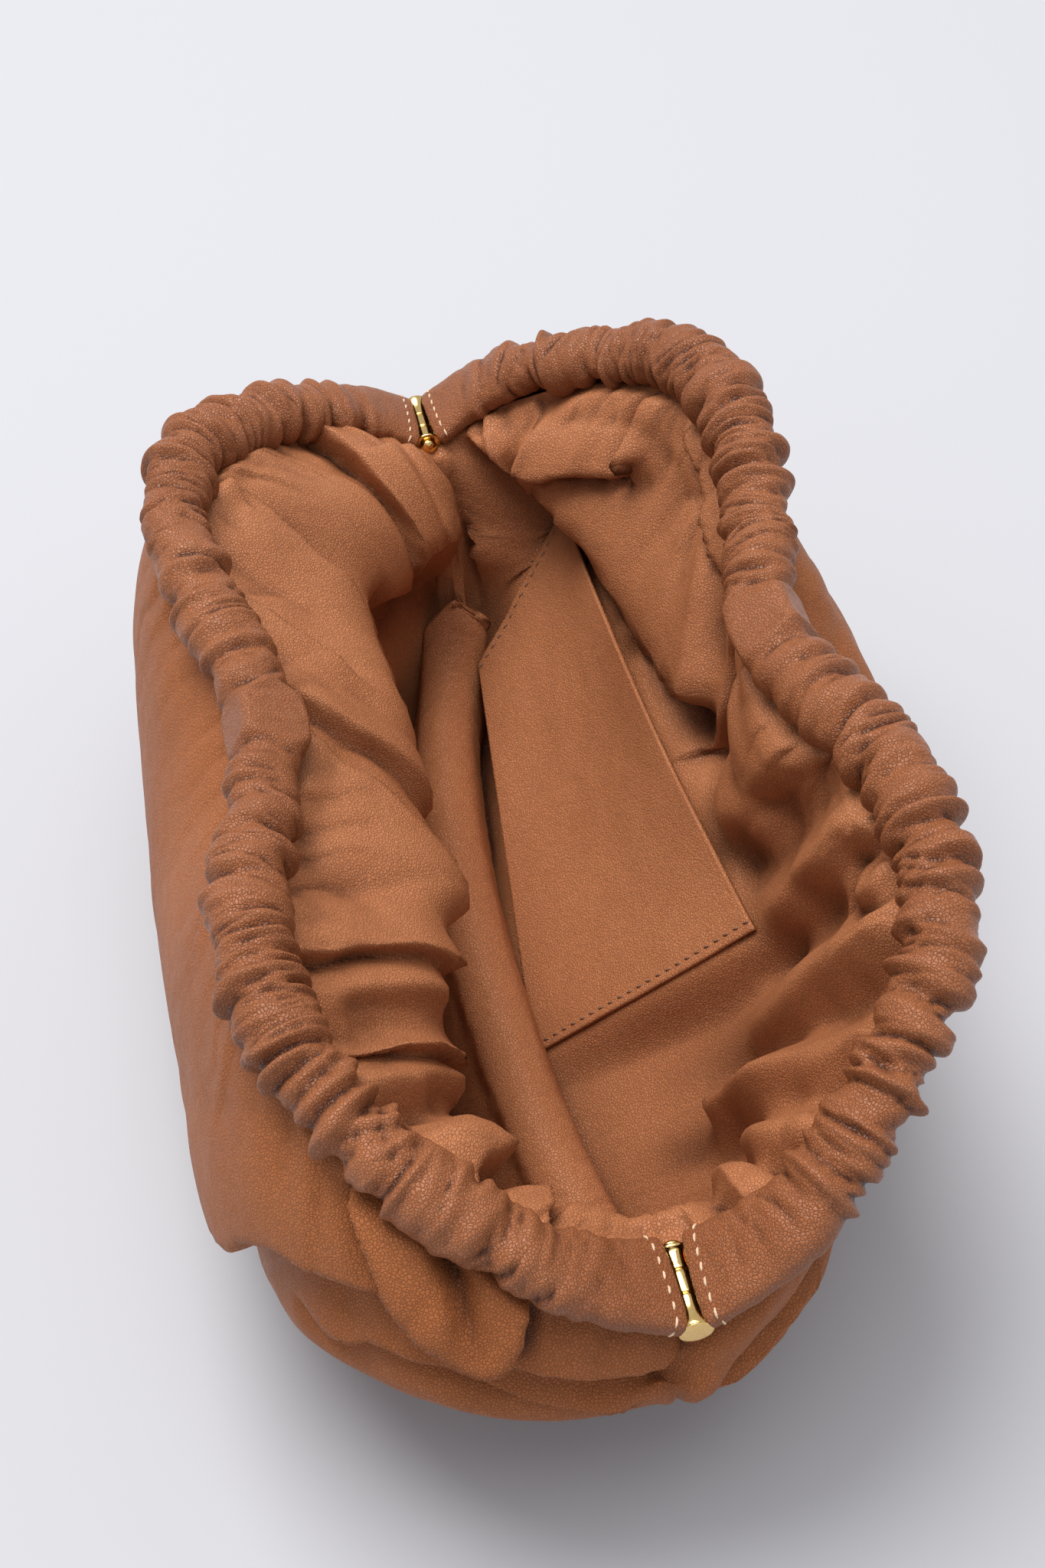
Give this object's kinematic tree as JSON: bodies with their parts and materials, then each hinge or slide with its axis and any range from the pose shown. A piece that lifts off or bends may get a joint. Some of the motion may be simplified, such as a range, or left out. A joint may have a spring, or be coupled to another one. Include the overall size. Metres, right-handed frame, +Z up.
{
  "type": "pouch bag",
  "caption": "Soft gathered leather pouch bag with a hinged bow-shaped frame held open, a folded leather lining and a slip pocket.",
  "frame": {"origin": "on the surface the bag stands on, below the middle of the hinge axis", "axes": "+X along the hinge axis towards the near hinge, +Y from the front wall to the back wall with the pocket, +Z up"},
  "size_m": [0.3267, 0.2042, 0.1451],
  "materials": {
    "outer_leather": "soft grained tan leather with a low sheen",
    "lining_leather": "soft grained tan leather",
    "brass": "polished gold-coloured brass",
    "magnet": "plain plated steel, hidden in the sleeve"
  },
  "bodies": {
    "root": {"outer_leather": "outer_leather", "lining": "lining_leather", "slip_pocket": "lining_leather", "front_sleeve": "outer_leather", "back_sleeve": "outer_leather", "front_frame": "brass", "back_frame": "brass", "near_hinge_pin": "brass", "far_hinge_pin": "brass", "front_magnet": "magnet", "back_magnet": "magnet"}
  },
  "joints": []
}
